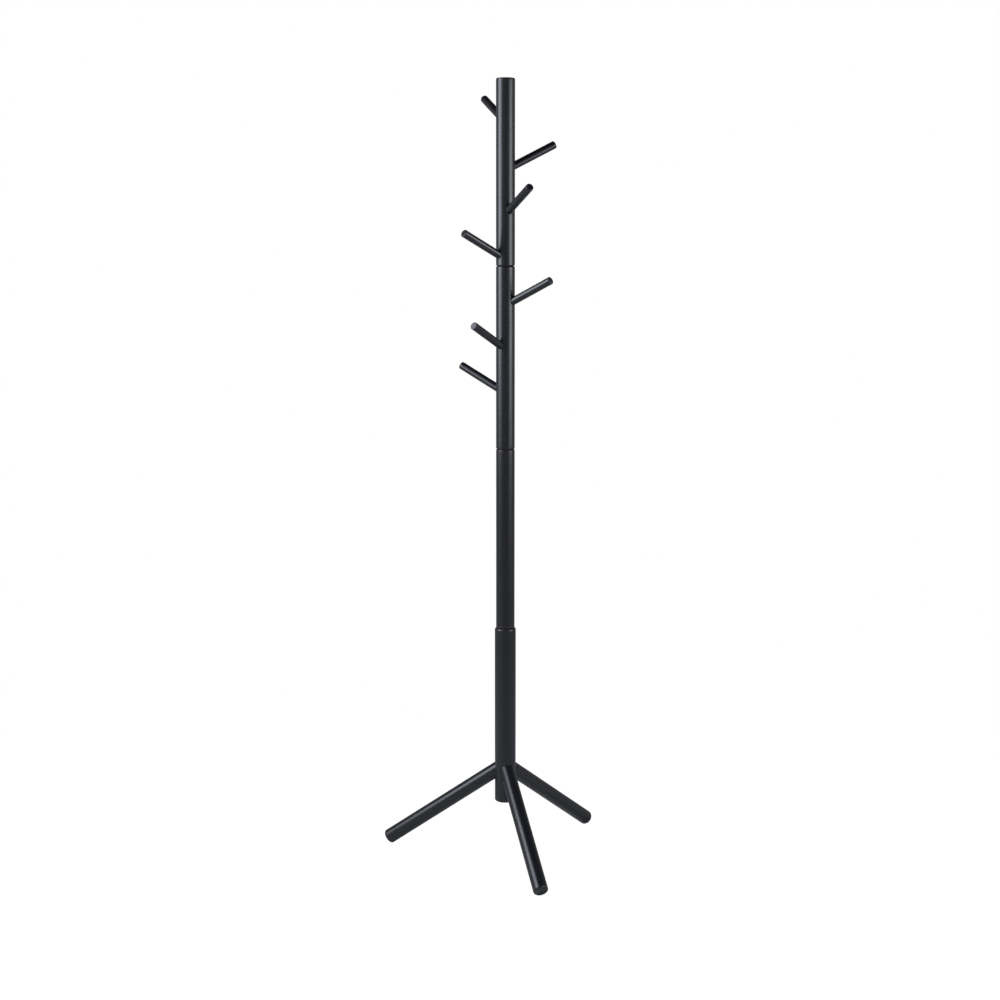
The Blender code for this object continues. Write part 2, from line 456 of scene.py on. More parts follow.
def stretch(start: float, stop: float, pitch: float) -> np.ndarray:
    """Return levels from start to stop with steps of at most a pitch."""
    return np.linspace(start, stop, max(2, math.ceil(abs(stop - start) / pitch) + 1))


@dataclass
class Skin:
    """One closed skin, gathered from grids of points that share their edges."""

    points: list[np.ndarray] = field(default_factory=list)
    faces: list[np.ndarray] = field(default_factory=list)
    slots: list[np.ndarray] = field(default_factory=list)
    count: int = 0

    def add(self, grid: np.ndarray, slot: int = 0, keep: np.ndarray | None = None) -> None:
        """Add a grid of points as quads, with its last column joined to its first.

        Args:
            grid: points, rows by columns by 3.
            slot: the number of the material of its faces.
            keep: which quads to keep, rows less one by columns. All of them if None.
        """
        rows, columns = grid.shape[:2]
        index = np.arange(rows * columns).reshape(rows, columns) + self.count
        after = np.roll(index, -1, axis=1)
        quads = np.stack([index[:-1], after[:-1], after[1:], index[1:]], axis=-1)
        quads = quads.reshape(-1, 4) if keep is None else quads[keep]
        self.points.append(grid.reshape(-1, 3))
        self.faces.append(quads)
        self.slots.append(np.full(len(quads), slot))
        self.count += rows * columns

    def materials(self) -> int:
        """Return how many materials its faces have."""
        return int(np.concatenate(self.slots).max()) + 1

    def close(self, ring: np.ndarray, centre: np.ndarray, slot: int = 0) -> None:
        """Close a ring of points with a fan of thin quads that meet at a centre."""
        self.add(np.stack([ring, np.broadcast_to(centre, ring.shape)]), slot=slot)

    def mesh(self, name: str, materials: list[bpy.types.Material]) -> bpy.types.Mesh:
        """Join the grids at their shared edges into one mesh with its faces pointing out.

        Args:
            name: the mesh's name.
            materials: the materials that the faces' slots number.

        Returns:
            The mesh.
        """
        mesh = bpy.data.meshes.new(name)
        points = np.concatenate(self.points)
        faces = np.concatenate(self.faces)
        mesh.from_pydata(points, [], faces)
        mesh.polygons.foreach_set("material_index", np.concatenate(self.slots).astype(np.int32))
        work = bmesh.new()
        work.from_mesh(mesh)
        bmesh.ops.remove_doubles(work, verts=work.verts, dist=WELD)
        bmesh.ops.recalc_face_normals(work, faces=work.faces)
        work.to_mesh(mesh)
        work.free()
        for material in materials:
            mesh.materials.append(material)
        mesh.shade_smooth()
        mesh.set_sharp_from_angle(angle=SHARP_ANGLE)
        return mesh


@dataclass(frozen=True)
class EdgeBand:
    """The rounded outer edges of a turned piece, where its lacquer is thinnest.

    A piece whose lower end isn't rounded keeps the endless low.
    """

    radius: float
    bend: float
    high: float
    low: float = -math.inf

    def weights(self, local: np.ndarray) -> np.ndarray:
        """Weight each point by how far round a bend it is.

        The weight is twice the product of how far the point stands past the flat of the end face
        and how far past the straight of the side, both as shares of the bend, so it is 1 at the
        bend's middle.

        Args:
            local: points in the piece's own frame.

        Returns:
            Weights from 0 to 1.
        """
        out = np.hypot(local[:, 0], local[:, 1]) - (self.radius - self.bend)
        height = local[:, 2]
        past = np.maximum(self.low + self.bend - height, height - self.high + self.bend)
        share = np.clip(out / self.bend, 0, 1) * np.clip(past / self.bend, 0, 1)
        return np.clip(2 * share, 0, 1)


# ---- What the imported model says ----


def body_of_node(node: str) -> str:
    """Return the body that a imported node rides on."""
    bodies = frame["record"]["behaviour"]["bodies"]
    return next(body for body, members in bodies.items() if node in members)


def node_points(node: str) -> np.ndarray:
    """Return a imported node's points, one row for each.

    Args:
        node: the node's name.

    Returns:
        The points, in metres.
    """
    mesh = frame["nodes"][node].data
    points = np.empty(len(mesh.vertices) * 3, np.float32)
    mesh.vertices.foreach_get("co", points)
    return points.reshape(-1, 3).astype(float)


def span(node: str, axis: Axis) -> tuple[float, float]:
    """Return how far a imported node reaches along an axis, lowest and highest."""
    reach = axis.read(node_points(node))[:, 2]
    return float(reach.min()), float(reach.max())


def widest(node: str, axis: Axis) -> float:
    """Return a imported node's greatest distance from an axis."""
    local = axis.read(node_points(node))
    return float(np.hypot(local[:, 0], local[:, 1]).max())


def mount(name: str) -> dict[str, list[float]]:
    """Return one of the record's mounts."""
    return next(item for item in frame["record"]["mounts"] if item["name"] == name)


def pole_axis() -> Axis:
    """Return the upright axis of the pole, with its origin on the floor."""
    x, y, _ = mount("pole_top")["pos_m"]
    return Axis(np.array([x, y, 0.0]), np.eye(3)[0], np.eye(3)[1], np.eye(3)[2])


def peg_axis(node: str, pole: Axis) -> Axis:
    """Find a peg's axis: the direction in which its points spread the most, away from the pole.

    Args:
        node: the peg's node.
        pole: the pole's axis.

    Returns:
        The peg's own frame.
    """
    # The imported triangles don't share points, so each place is counted once.
    points = np.unique(np.round(node_points(node), WELD_DIGITS), axis=0)
    centre = points.mean(axis=0)
    spread = np.linalg.svd(points - centre, full_matrices=False)[2][0]
    along = spread * math.copysign(1.0, (centre - pole.origin)[:2] @ spread[:2])
    return Axis.leaving(pole, centre, along / np.linalg.norm(along))


def leg_axis(leg: str, pole: Axis) -> Axis:
    """Return a leg's axis, which is square to the mount on its foot."""
    foot = mount(leg.replace("_leg", "_foot"))
    return Axis.leaving(pole, np.array(foot["pos_m"], float), np.array(foot["axis"], float))


# ---- Where dowels meet ----


@dataclass(frozen=True)
class Crossing:
    """Where a round branch on its own axis meets the round surface of an upright."""

    branch: Axis
    pole: Axis
    surface: float

    def reach(self, angles: np.ndarray, radius: np.ndarray | float) -> np.ndarray:
        """Return the distance along the branch at which each of its lines meets the upright.

        A line starts at a point q beside the branch's axis and runs along its direction a. It
        meets the surface where the level length of q + s a is the surface's radius, which is a
        quadratic in s, and the larger root is the outer side.

        Args:
            angles: angles round the branch's axis.
            radius: distances from it.

        Returns:
            The distance along the branch for each line.
        """
        start = self.branch.place(around(radius, angles, 0.0))
        level = (start - self.pole.origin)[..., :2]
        lean = self.branch.along[:2]
        squared = lean @ lean
        middle = level @ lean / squared
        rest = ((level**2).sum(axis=-1) - self.surface**2) / squared
        return -middle + np.sqrt(middle**2 - rest)

    def outline(self, angles: np.ndarray, radius: np.ndarray | float) -> np.ndarray:
        """Return the points where the branch's lines meet the surface."""
        return self.branch.place(around(radius, angles, self.reach(angles, radius)))


@dataclass(frozen=True)
class BlindHole:
    """A blind hole bored into an upright along a branch's axis, with a softened lip."""

    crossing: Crossing
    radius: float
    bottom: float
    lip: float = 0.35 * MM
    lip_steps: int = 4
    wall_rows: int = 8

    def heading(self) -> float:
        """Return the angle about the upright at which the hole's middle comes out."""
        along = self.crossing.branch.along
        return math.atan2(along[1], along[0])

    def height(self) -> float:
        """Return the height at which the hole's middle comes out.

        Returns:
            The height along the pole.
        """
        along = self.crossing.branch.along
        rise = along[2] / math.hypot(along[0], along[1])
        return float(self.crossing.branch.origin[2] + self.crossing.surface * rise)

    def wall(self, skin: Skin, angles: np.ndarray) -> None:
        """Add the lip, the wall and the bottom to a skin.

        The lip is a quarter circle: the radius falls with the sine of the angle while the surface
        sinks along the branch with its cosine. The wall then runs straight down to the bottom.

        Args:
            skin: the upright's skin.
            angles: the angles of the outline's points about the branch.
        """
        place = self.crossing.branch.place
        bend = np.linspace(0, QUARTER, self.lip_steps + 1)[:, None]
        radii = self.radius + self.lip * (1 - np.sin(bend))
        depth = self.crossing.reach(angles, radii) - self.lip * (1 - np.cos(bend))
        skin.add(place(around(radii, angles, depth)))
        share = np.linspace(0, 1, self.wall_rows)[:, None]
        wall = place(around(self.radius, angles, depth[-1] * (1 - share) + self.bottom * share))
        skin.add(wall, slot=BARE)
        skin.close(wall[-1], place(np.array([0.0, 0.0, self.bottom])), slot=BARE)

    def rim(self, angles: np.ndarray) -> np.ndarray:
        """Return the points of the lip's outer edge."""
        return self.crossing.outline(angles, self.radius + self.lip)


@dataclass(frozen=True)
class BoredSide:
    """The straight side of an upright, with the holes that branches go into.

    The side is a grid of heights and angles. Round each hole a rectangle of quads is left out, and
    a patch fills the space between that rectangle and the hole's rim.
    """

    pole: Axis
    radius: float
    low: float
    high: float
    columns: int
    holes: tuple[BlindHole, ...]
    half_columns: int = 10
    half_rows: int = 5
    margin: float = 5.5 * MM
    pitch: float = 5 * MM
    rings: int = 6
    crowding: float = 1.3
    outline_columns: int = 64

    def levels(self) -> tuple[np.ndarray, list[int]]:
        """Return the rows' heights, and the number of the row below each hole's rectangle.

        Holes at one height, as the legs' are, share their rows.
        """
        edges = [self.low]
        firsts = []
        rows = [np.array([self.low])]
        for hole in sorted(self.holes, key=BlindHole.height):
            if firsts and hole.height() < edges[-1]:
                firsts.append(firsts[-1])
                continue
            outline = hole.rim(circle(self.outline_columns))[:, 2]
            bottom, top = outline.min() - self.margin, outline.max() + self.margin
            rows.append(stretch(edges[-1], bottom, self.pitch)[1:])
            firsts.append(sum(map(len, rows)) - 1)
            rows.append(np.linspace(bottom, top, 2 * self.half_rows + 1)[1:])
            edges.append(top)
        rows.append(stretch(edges[-1], self.high, self.pitch)[1:])
        return np.concatenate(rows), firsts

    def surface(self, angle: np.ndarray, height: np.ndarray) -> np.ndarray:
        """Return the side's points at angles about the upright and heights along it."""
        return self.pole.place(around(self.radius, angle, height))

    def add_to(self, skin: Skin) -> None:
        """Add the side with its patches and holes to a skin.

        Args:
            skin: the skin that takes them.
        """
        heights, firsts = self.levels()
        keep = np.ones((len(heights) - 1, self.columns), bool)
        step = FULL_TURN / self.columns
        for hole, first in zip(sorted(self.holes, key=BlindHole.height), firsts):
            middle = round(hole.heading() / step)
            spread = np.arange(middle - self.half_columns, middle + self.half_columns + 1)
            last = first + 2 * self.half_rows
            keep[first:last, spread[:-1] % self.columns] = False
            self.patch(skin, hole, spread * step, heights[first : last + 1])
        skin.add(self.surface(circle(self.columns), heights[:, None]), keep=keep)

    def patch(self, skin: Skin, hole: BlindHole, across: np.ndarray, up: np.ndarray) -> None:
        """Fill the space between a hole's rim and the rectangle left out round it.

        The rectangle's points are walked once round, and each takes the rim's point at the same
        angle about the hole. The rings between them are shares of the way from rim to rectangle,
        in the unrolled side.

        Args:
            skin: the upright's skin.
            hole: the hole.
            across: the rectangle's columns, as angles about the upright.
            up: its rows' heights.
        """
        rows, columns = np.ones(len(up) - 1), np.ones(len(across) - 1)
        angle = np.concatenate([across[:-1], rows * across[-1], across[:0:-1], rows * across[0]])
        height = np.concatenate([columns * up[0], up[:-1], columns * up[-1], up[:0:-1]])
        sideways = self.radius * (angle - hole.heading())
        turn = np.arctan2(height - hole.height(), sideways)
        # The branch's across vector points to rising or falling angles, and the rim is read so.
        level = self.pole.read(self.pole.origin + hole.crossing.branch.across)
        outward = np.array([-math.sin(hole.heading()), math.cos(hole.heading())])
        turn = turn if level[:2] @ outward > 0 else math.pi - turn
        rim = self.pole.read(hole.rim(turn))
        rim_angle = np.arctan2(rim[:, 1], rim[:, 0])
        rim_angle = angle + (rim_angle - angle + math.pi) % FULL_TURN - math.pi
        share = np.linspace(0, 1, self.rings + 1)[:, None] ** self.crowding
        ring_angle = rim_angle * (1 - share) + angle * share
        ring_height = rim[:, 2] * (1 - share) + height * share
        skin.add(self.surface(ring_angle, ring_height))
        hole.wall(skin, turn)


# ---- Sub-assemblies ----


@dataclass
class Piece:
    """What every piece has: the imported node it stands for, its own axis, and the finishes."""

    node: str
    axis: Axis
    finishes: Finishes

    def __post_init__(self) -> None:
        """Read the piece's reach along its axis, and its radius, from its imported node."""
        self.low, self.high = span(self.node, self.axis)
        self.radius = widest(self.node, self.axis)

    def finished(
        self,
        skin: Skin,
        name: str,
        slot: Slot,
        materials: list[bpy.types.Material],
        edge: EdgeBand | None = None,
    ) -> bpy.types.Object:
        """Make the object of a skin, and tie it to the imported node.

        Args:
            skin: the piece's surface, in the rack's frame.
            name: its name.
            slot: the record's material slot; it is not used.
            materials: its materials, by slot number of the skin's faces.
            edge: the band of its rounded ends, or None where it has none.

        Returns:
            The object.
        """
        mesh = skin.mesh(name, materials)
        points = np.empty(len(mesh.vertices) * 3, np.float32)
        mesh.vertices.foreach_get("co", points)
        local = self.axis.read(points.reshape(-1, 3).astype(float))
        # Each piece comes from another place in the timber: the letters of its names say which.
        letters = sum(map(ord, name)), len(name) * 7, sum(map(ord, self.node))
        offset = np.mod(letters, TIMBER_PLACES) * GRAIN_STEP
        grain = mesh.attributes.new("grain", "FLOAT_VECTOR", "POINT")
        grain.data.foreach_set("vector", (local + offset).astype(np.float32).ravel())
        thin = mesh.attributes.new("edge", "FLOAT", "POINT")
        weights = np.zeros(len(local)) if edge is None else edge.weights(local)
        thin.data.foreach_set("value", weights.astype(np.float32))
        piece = bpy.data.objects.new(name, mesh)
        bpy.context.scene.collection.objects.link(piece)
        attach(piece, body_of_node(self.node))
        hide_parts(self.node)
        log.info("%s: %d faces", name, len(mesh.polygons))
        return piece


@dataclass
class Dowel(Piece):
    """A turned wooden piece, whose ends are rounded by its bend."""

    def finished_wood(self, skin: Skin, bend: float, low: float = -math.inf) -> bpy.types.Object:
        """Make a lacquered object of a skin, thin of film on its rounded ends.

        Args:
            skin: the piece's surface, in the rack's frame.
            bend: the radius of its rounded edges.
            low: its lower end, where that is rounded too.

        Returns:
            The object.
        """
        materials = [self.finishes.lacquer, self.finishes.beech][: skin.materials()]
        edge = EdgeBand(self.radius, bend, self.high, low)
        return self.finished(skin, self.node + "_dowel", Slot.WOOD, materials, edge)


@dataclass
class PoleLength(Dowel):
    """One turned length of the pole, with the holes in its side and the bores in its ends."""

    holes: tuple[BlindHole, ...] = ()
    upper_insert: str | None = None
    lower_bolt: str | None = None
    upper_bend: float = 3.0 * MM
    lower_bend: float = 3.0 * MM
    columns: int = 96
    bend_steps: int = 10
    play: float = 0.05 * MM
    insert_ledge: float = 1.7 * MM
    insert_lip: float = 0.4 * MM
    pilot_margin: float = 8 * MM
    pilot_point: float = 1.2 * MM
    bore_chamfer: float = 0.8 * MM
    bore_grip: float = 4 * MM
    bore_margin: float = 0.6 * MM
    bore_point: float = 1.6 * MM

    def upper_bore(self) -> np.ndarray:
        """Return the profile of the insert's hole in the upper end, from its mouth down.

        Returns:
            Rows of a radius and a height.
        """
        insert_low, insert_high = span(self.upper_insert, self.axis)
        wide = widest(self.upper_insert, self.axis) + self.play
        narrow, mouth = wide - self.insert_ledge, wide + self.insert_lip
        seat, lip = insert_low - self.play, self.high - self.insert_lip
        floor = 2 * insert_low - insert_high + self.pilot_margin
        radii = (mouth, wide, wide, narrow, narrow, 0.0)
        heights = (self.high, lip, seat, seat, floor, floor - self.pilot_point)
        return np.column_stack([radii, heights])

    def lower_bore(self) -> np.ndarray:
        """Return the profile of the bolt's bore in the lower end, from its mouth up.

        Returns:
            Rows of a radius and a height.
        """
        _, bolt_high = span(self.lower_bolt, self.axis)
        wide = widest(self.lower_bolt, self.axis) + self.play
        lip, grip = self.low + self.bore_chamfer, bolt_high - self.bore_grip
        ceiling = bolt_high + self.bore_margin
        radii = (wide + self.bore_chamfer, wide, wide, wide, 0.0)
        heights = (self.low, lip, grip, ceiling, ceiling + self.bore_point)
        return np.column_stack([radii, heights])

    def add_end(self, skin: Skin, face: np.ndarray, bore: np.ndarray | None) -> None:
        """Add one end: its face with the rounded edge, and its bore.

        Args:
            skin: the length's skin.
            face: the profile of the face and its edge, from the inside out.
            bore: the profile of the bore, from its mouth in, or None for a plain end.
        """
        angles = circle(self.columns)
        if bore is None:
            face = np.vstack([(0.0, face[0, 1]), face])
        else:
            skin.add(self.axis.place(turned(bore, angles)), slot=BARE)
            face = np.vstack([bore[0], face[1:]])
        skin.add(self.axis.place(turned(face, angles)))

    def build(self) -> bpy.types.Object:
        """Build the length, tie it to its node and return it.

        Returns:
            The finished piece.
        """
        skin = Skin()
        top = round_over(self.radius, self.high, self.upper_bend, 1.0, self.bend_steps)
        self.add_end(skin, top, self.upper_bore() if self.upper_insert else None)
        foot = round_over(self.radius, self.low, self.lower_bend, -1.0, self.bend_steps)
        self.add_end(skin, foot, self.lower_bore() if self.lower_bolt else None)
        straight = self.low + self.lower_bend, self.high - self.upper_bend
        BoredSide(self.axis, self.radius, *straight, self.columns, self.holes).add_to(skin)
        return self.finished_wood(skin, self.upper_bend, self.low)


@dataclass
class Peg(Dowel):
    """One turned peg, glued into its blind hole and rounded at its tip."""

    columns: int = 56
    bend: float = 2.2 * MM
    bend_steps: int = 8
    seat_chamfer: float = 0.6 * MM
    pitch: float = 4 * MM
    play: float = 0.12 * MM
    floor_play: float = 0.2 * MM

    def hole(self, pole: Axis, surface: float) -> BlindHole:
        """Return the hole that the peg goes into, in a pole length of a given radius."""
        crossing = Crossing(self.axis, pole, surface)
        return BlindHole(crossing, self.radius + self.play, self.low - self.floor_play)

    def build(self) -> bpy.types.Object:
        """Build the peg, tie it to its node and return it.

        Returns:
            The finished piece.
        """
        tip = round_over(self.radius, self.high, self.bend, 1.0, self.bend_steps)
        levels = stretch(self.high - self.bend, self.low + self.seat_chamfer, self.pitch)[1:]
        side = np.column_stack([np.full(len(levels), self.radius), levels])
        seat = [(self.radius - self.seat_chamfer, self.low), (0.0, self.low)]
        profile = np.vstack([(0.0, self.high), tip, side, seat])
        skin = Skin()
        skin.add(self.axis.place(turned(profile, circle(self.columns))))
        return self.finished_wood(skin, self.bend)


@dataclass
class Leg(Dowel):
    """One round leg, coped to the post at its upper end and rounded over at its foot."""

    columns: int = 72
    rows: int = 60
    face_rings: int = 9
    bore_rows: int = 12
    bend: float = 5.0 * MM
    bend_steps: int = 12
    gap: float = 0.08 * MM
    play: float = 0.05 * MM
    floor_play: float = 0.2 * MM
    bore_margin: float = 1.0 * MM
    bore_point: float = 1.5 * MM

    def hole(self, pole: Axis, surface: float) -> BlindHole:
        """Return the hole for the leg's insert, in a post of a given radius.

        Args:
            pole: the pole's axis.
            surface: the post's radius.

        Returns:
            The hole.
        """
        insert = self.node + "_insert"
        low, _ = span(insert, self.axis)
        crossing = Crossing(self.axis, pole, surface)
        return BlindHole(crossing, widest(insert, self.axis) + self.play, low - self.floor_play)

    def build(self, pole: Axis, surface: float) -> bpy.types.Object:
        """Build the leg.

        Its side runs from the cope, where each of its lines meets the post, to the foot: the
        distance along the leg is a share of the way between the two. The coped face is the same
        meeting line for smaller and smaller radii, down to the bolt's bore.

        Args:
            pole: the pole's axis.
            surface: the post's radius.

        Returns:
            The finished leg.
        """
        angles = circle(self.columns)
        cope = Crossing(self.axis, pole, surface + self.gap)
        bolt = self.node + "_bolt"
        bore = widest(bolt, self.axis) + self.play
        ceiling = span(bolt, self.axis)[1] + self.bore_margin
        skin = Skin()

        share = np.linspace(0, 1, self.rows)[:, None]
        side = cope.reach(angles, self.radius) * (1 - share) + (self.high - self.bend) * share
        skin.add(self.axis.place(around(self.radius, angles, side)))
        radii = np.linspace(self.radius, bore, self.face_rings)[:, None]
        skin.add(cope.outline(angles, radii))

        share = np.linspace(0, 1, self.bore_rows)[:, None]
        depth = cope.reach(angles, bore) * (1 - share) + ceiling * share
        wall = self.axis.place(around(bore, angles, depth))
        skin.add(wall, slot=BARE)
        centre = self.axis.place(np.array([0.0, 0.0, ceiling + self.bore_point]))
        skin.close(wall[-1], centre, slot=BARE)

        foot = round_over(self.radius, self.high, self.bend, 1.0, self.bend_steps)
        foot = np.vstack([(0.0, self.high), foot])
        skin.add(self.axis.place(turned(foot, angles)))
        return self.finished_wood(skin, self.bend)


def helix(height: np.ndarray, angles: np.ndarray, pitch: float) -> np.ndarray:
    """Return the share of a turn at each height and angle, from 0 to 1, of a right-hand helix."""
    return (height / pitch - angles / FULL_TURN) % 1.0


def ridge(phase: np.ndarray, crest: float, root: float) -> np.ndarray:
    """Shape a helix into a thread's ridge.

    The distance from the middle of the turn is 0 at the crest and 1 at the root. The ridge is 1
    within the crest's share of that distance, 0 within the root's, and straight between them.

    Args:
        phase: shares of a turn.
        crest: the share taken by the crest's flat.
        root: the share taken by the root's flat.

    Returns:
        Heights from 0 to 1.
    """
    away = np.abs(2 * phase - 1)
    return np.clip((1 - root - away) / (1 - root - crest), 0, 1)


@dataclass
class HangerBolt(Piece):
    """A headless bolt with a machine thread on one end and a pointed wood thread on the other.

    Each flats is the share of the thread's crest and of its root.
    """

    machine_length: float = 18 * MM
    machine_pitch: float = 1.25 * MM
    machine_depth: float = 0.72 * MM
    machine_flats: Range = (0.12, 0.2)
    machine_rows: int = 12
    wood_pitch: float = 3.1 * MM
    wood_depth: float = 1.05 * MM
    wood_flats: Range = (0.06, 0.55)
    wood_rows: int = 16
    collar: float = 1.2 * MM
    point: float = 7 * MM
    point_share: float = 0.0004
    chamfer: float = 1.0 * MM
    columns: int = 40

    def build(self) -> bpy.types.Object:
        """Build the bolt.

        Its radius is a function of height and angle: the crest's radius less the thread's depth,
        plus the ridge of the helix times that depth. Both threads fade out at the plain collar
        between them, the machine end narrows over its chamfer, and the wood end over its point.

        Returns:
            The finished bolt.
        """
        low, high = self.low, self.high
        crest = self.radius - CREST_PLAY
        seat = low + self.machine_length
        angles = circle(self.columns)
        machine = np.arange(low, seat - self.collar, self.machine_pitch / self.machine_rows)
        wood = np.arange(seat + self.collar, high, self.wood_pitch / self.wood_rows)
        height = np.concatenate([machine, [seat - self.collar], wood, [high]])[:, None]

        fine = ridge(helix(height, angles, self.machine_pitch), *self.machine_flats)
        coarse = ridge(helix(height, angles, self.wood_pitch), *self.wood_flats)
        fade_fine = np.clip((seat - self.collar - height) / self.machine_pitch, 0, 1)
        fade_coarse = np.clip((height - seat - self.collar) / self.wood_pitch, 0, 1)
        radius = np.where(
            height < seat,
            crest - self.machine_depth * (1 - fine) * fade_fine,
            crest - self.wood_depth * (1 - coarse) * fade_coarse,
        )
        into = np.clip((height - low) / self.chamfer, 0, 1)
        radius = np.minimum(radius, crest - self.chamfer * (1 - into))
        left = np.clip((high - height) / self.point, 0, 1)
        radius = radius * np.sqrt(np.maximum(left, self.point_share))

        grid = self.axis.place(around(radius, angles, height))
        skin = Skin()
        skin.add(grid)
        for ring, end in ((grid[0], low), (grid[-1], high)):
            skin.close(ring, self.axis.place(np.array([0.0, 0.0, end])))
        name = self.node.replace("_bolt", "_hanger_bolt")
        return self.finished(skin, name, Slot.STEEL, [self.finishes.steel])


@dataclass
class ThreadedInsert(Piece):
    """A brass insert: an outer thread with a tapered lead, a hexagon socket and an inner thread.

    Each flats is the share of the thread's crest and of its root.
    """

    outer_pitch: float = 2.4 * MM
    outer_depth: float = 0.7 * MM
    outer_flats: Range = (0.08, 0.4)
    outer_rows: int = 12
    lead: float = 1.5 * MM
    lead_depth: float = 0.9 * MM
    rim: float = 0.5 * MM
    rim_chamfer: float = 0.35 * MM
    across_flats: float = 8.6 * MM
    socket_depth: float = 3.0 * MM
    socket_mouth: float = 0.3 * MM
    socket_flare: float = 0.2 * MM
    bore: float = 4.12 * MM
    inner_pitch: float = 1.25 * MM
    inner_depth: float = 0.4 * MM
    inner_flats: Range = (0.12, 0.2)
    inner_rows: int = 10
    columns: int = 48

    def build(self) -> bpy.types.Object:
        """Build the insert.

        The outer wall's radius is the crest's less the coarse thread's depth where the ridge is
        low, and it narrows over the lead. The socket's radius at an angle is half the flats'
        distance divided by the cosine of the angle from the nearest flat's middle. Below it the
        bore's radius grows by the fine thread's ridge.

        Returns:
            The finished insert.
        """
        low, high = self.low, self.high
        crest = self.radius - CREST_PLAY
        angles = circle(self.columns)

        outer = stretch(high - self.rim, low, self.outer_pitch / self.outer_rows)[:, None]
        wave = ridge(helix(outer, angles, self.outer_pitch), *self.outer_flats)
        fade = np.clip((high - self.rim - outer) / self.outer_pitch, 0, 1)
        wall = crest - self.outer_depth * (1 - wave) * fade
        narrowing = np.clip((outer - low) / self.lead, 0, 1)
        wall = np.minimum(wall, crest - self.lead_depth * (1 - narrowing))

        shoulder = high - self.socket_depth
        from_flat = (angles + FULL_TURN / 12) % (FULL_TURN / 6) - FULL_TURN / 12
        hexagon = self.across_flats / 2 / np.cos(from_flat)
        deep = stretch(low, shoulder, self.inner_pitch / self.inner_rows)[:, None]
        thread = ridge(helix(deep, angles, self.inner_pitch), *self.inner_flats)
        ease = np.clip(np.minimum(deep - low, shoulder - deep) / self.inner_pitch, 0, 1)
        inside = self.bore + self.inner_depth * thread * ease

        rims = (
            (hexagon, shoulder),
            (hexagon, high - self.socket_mouth),
            (hexagon + self.socket_flare, high),
            (crest - self.rim_chamfer, high),
            (crest, high - self.rim_chamfer),
        )
        rings = [around(radius, angles, height) for radius, height in rims]
        threads = around(inside, angles, deep), around(wall, angles, outer)
        grid = np.concatenate([threads[0], rings, threads[1], threads[0][:1]])
        skin = Skin()
        skin.add(self.axis.place(grid))
        name = self.node.replace("_insert", "_threaded_insert")
        return self.finished(skin, name, Slot.BRASS, [self.finishes.brass])


@dataclass
class CoatRack:
    """The whole rack: a pole of four lengths, seven pegs, three legs and the fasteners inside.

    Its bends are the roundings of each length's upper and lower edge.
    """

    finishes: Finishes
    pole: Axis = field(default_factory=pole_axis)
    lengths: tuple[str, ...] = ("bottom_post", "lower_pole", "upper_pole", "top_pole")
    joints: tuple[str, ...] = ("lower_joint", "upper_joint", "top_joint")
    legs: tuple[str, ...] = ("front_leg", "right_leg", "left_leg")
    bends: tuple[Range, ...] = (
        (6.0 * MM, 4.0 * MM),
        (3.0 * MM, 1.0 * MM),
        (3.0 * MM, 3.0 * MM),
        (3.0 * MM, 3.0 * MM),
    )

    def pegs_of(self, length: str) -> list[Peg]:
        """Return the pegs that go into a length, by the word that their names share with it.

        Args:
            length: the length's node.

        Returns:
            The pegs.
        """
        word = length.split("_")[0] + "_peg_"
        nodes = sorted(node for node in frame["nodes"] if node.startswith(word))
        return [Peg(node, peg_axis(node, self.pole), self.finishes) for node in nodes]

    def build(self) -> None:
        """Build every piece, from the floor up."""
        legs = [Leg(node, leg_axis(node, self.pole), self.finishes) for node in self.legs]
        for number, node in enumerate(self.lengths):
            surface = widest(node, self.pole)
            pegs = self.pegs_of(node)
            holes = [peg.hole(self.pole, surface) for peg in pegs]
            if number == 0:
                holes = [leg.hole(self.pole, surface) for leg in legs]
            insert = self.joints[number] + "_insert" if number < len(self.joints) else None
            bolt = self.joints[number - 1] + "_bolt" if number else None
            ends = tuple(holes), insert, bolt, *self.bends[number]
            PoleLength(node, self.pole, self.finishes, *ends).build()
            for peg in pegs:
                peg.build()
            if number == 0:
                for leg in legs:
                    leg.build(self.pole, surface)
                    self.fasten(leg.node, leg.axis)
        for joint in self.joints:
            self.fasten(joint, self.pole)

    def fasten(self, place: str, axis: Axis) -> None:
        """Build the bolt and the insert that hold a leg or a joint."""
        HangerBolt(place + "_bolt", axis, self.finishes).build()
        ThreadedInsert(place + "_insert", axis, self.finishes).build()


# ---- Studio ----


@dataclass(frozen=True)
class Softbox:
    """A rectangular soft light, placed from the pole's foot, that faces a height of the pole."""

    name: str
    place: tuple[float, float, float]
    aim: float
    width: float
    height: float
    radiance: float
    tint: str

    def hang(self, pole: Axis) -> None:
        """Put the light in the scene. Its power is its radiance times pi times its area.

        Args:
            pole: the pole's axis.
        """
        light = bpy.data.lights.new(self.name, "AREA")
        light.shape = "RECTANGLE"
        light.size = self.width
        light.size_y = self.height
        light.energy = self.radiance * math.pi * self.width * self.height
        light.color = linear(self.tint)[:3]
        lamp = bpy.data.objects.new(self.name, light)
        lamp.location = pole.origin + self.place
        towards = Vector((0.0, 0.0, self.aim)) - Vector(self.place)
        lamp.rotation_euler = towards.to_track_quat("-Z", "Y").to_euler()
        bpy.context.scene.collection.objects.link(lamp)


